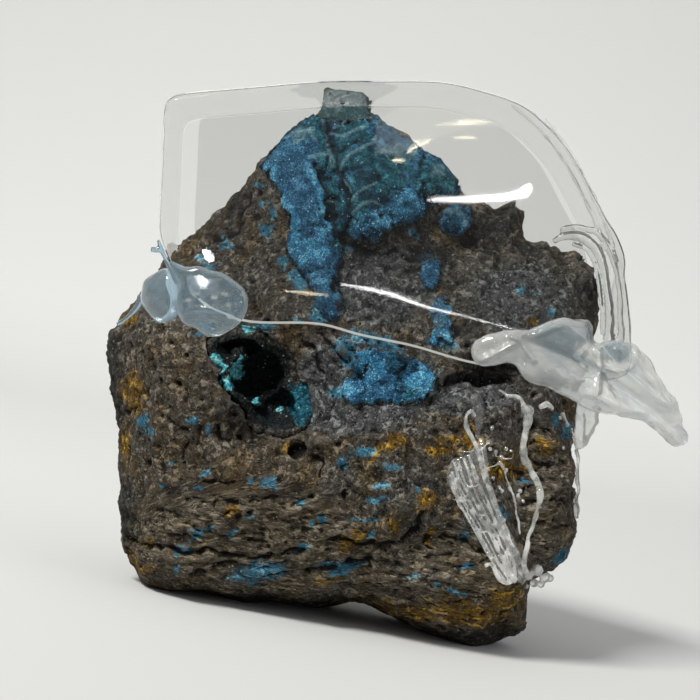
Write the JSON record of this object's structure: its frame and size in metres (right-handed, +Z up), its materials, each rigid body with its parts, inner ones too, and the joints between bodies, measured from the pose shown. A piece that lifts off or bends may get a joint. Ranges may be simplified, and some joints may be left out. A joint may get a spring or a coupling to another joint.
{
  "type": "shattuckite specimen on matrix",
  "caption": "Hand-sized specimen of blue shattuckite crusts on dark iron-manganese matrix with an open vug, under a clear plastic guard held on with hot-melt glue.",
  "frame": {"origin": "middle of the base, on the surface that the specimen stands on", "axes": "+Z up, +X to the right when the crystals are looked at, +Y away from the viewer"},
  "size_m": [0.0748, 0.0412, 0.0693],
  "materials": {
    "matrix_rock": "dull, granular, with ochre and blue stains",
    "shattuckite": "velvety, fibrous",
    "vug_lining": "dark, drusy",
    "clear_plastic": "clear, glossy",
    "hot_melt_glue": "milky, glossy"
  },
  "bodies": {
    "root": {"matrix": "matrix_rock", "shattuckite_crust": "shattuckite", "shattuckite_knob": "shattuckite", "shattuckite_streak_upper": "shattuckite", "shattuckite_streak_lower": "shattuckite", "shattuckite_lower_patch": "shattuckite", "vug_crust": "vug_lining", "clear_cover": "clear_plastic", "glue_bead_left": "hot_melt_glue", "glue_bead_right": "hot_melt_glue", "glue_seam_right": "hot_melt_glue", "glue_threads": "hot_melt_glue"}
  },
  "joints": []
}
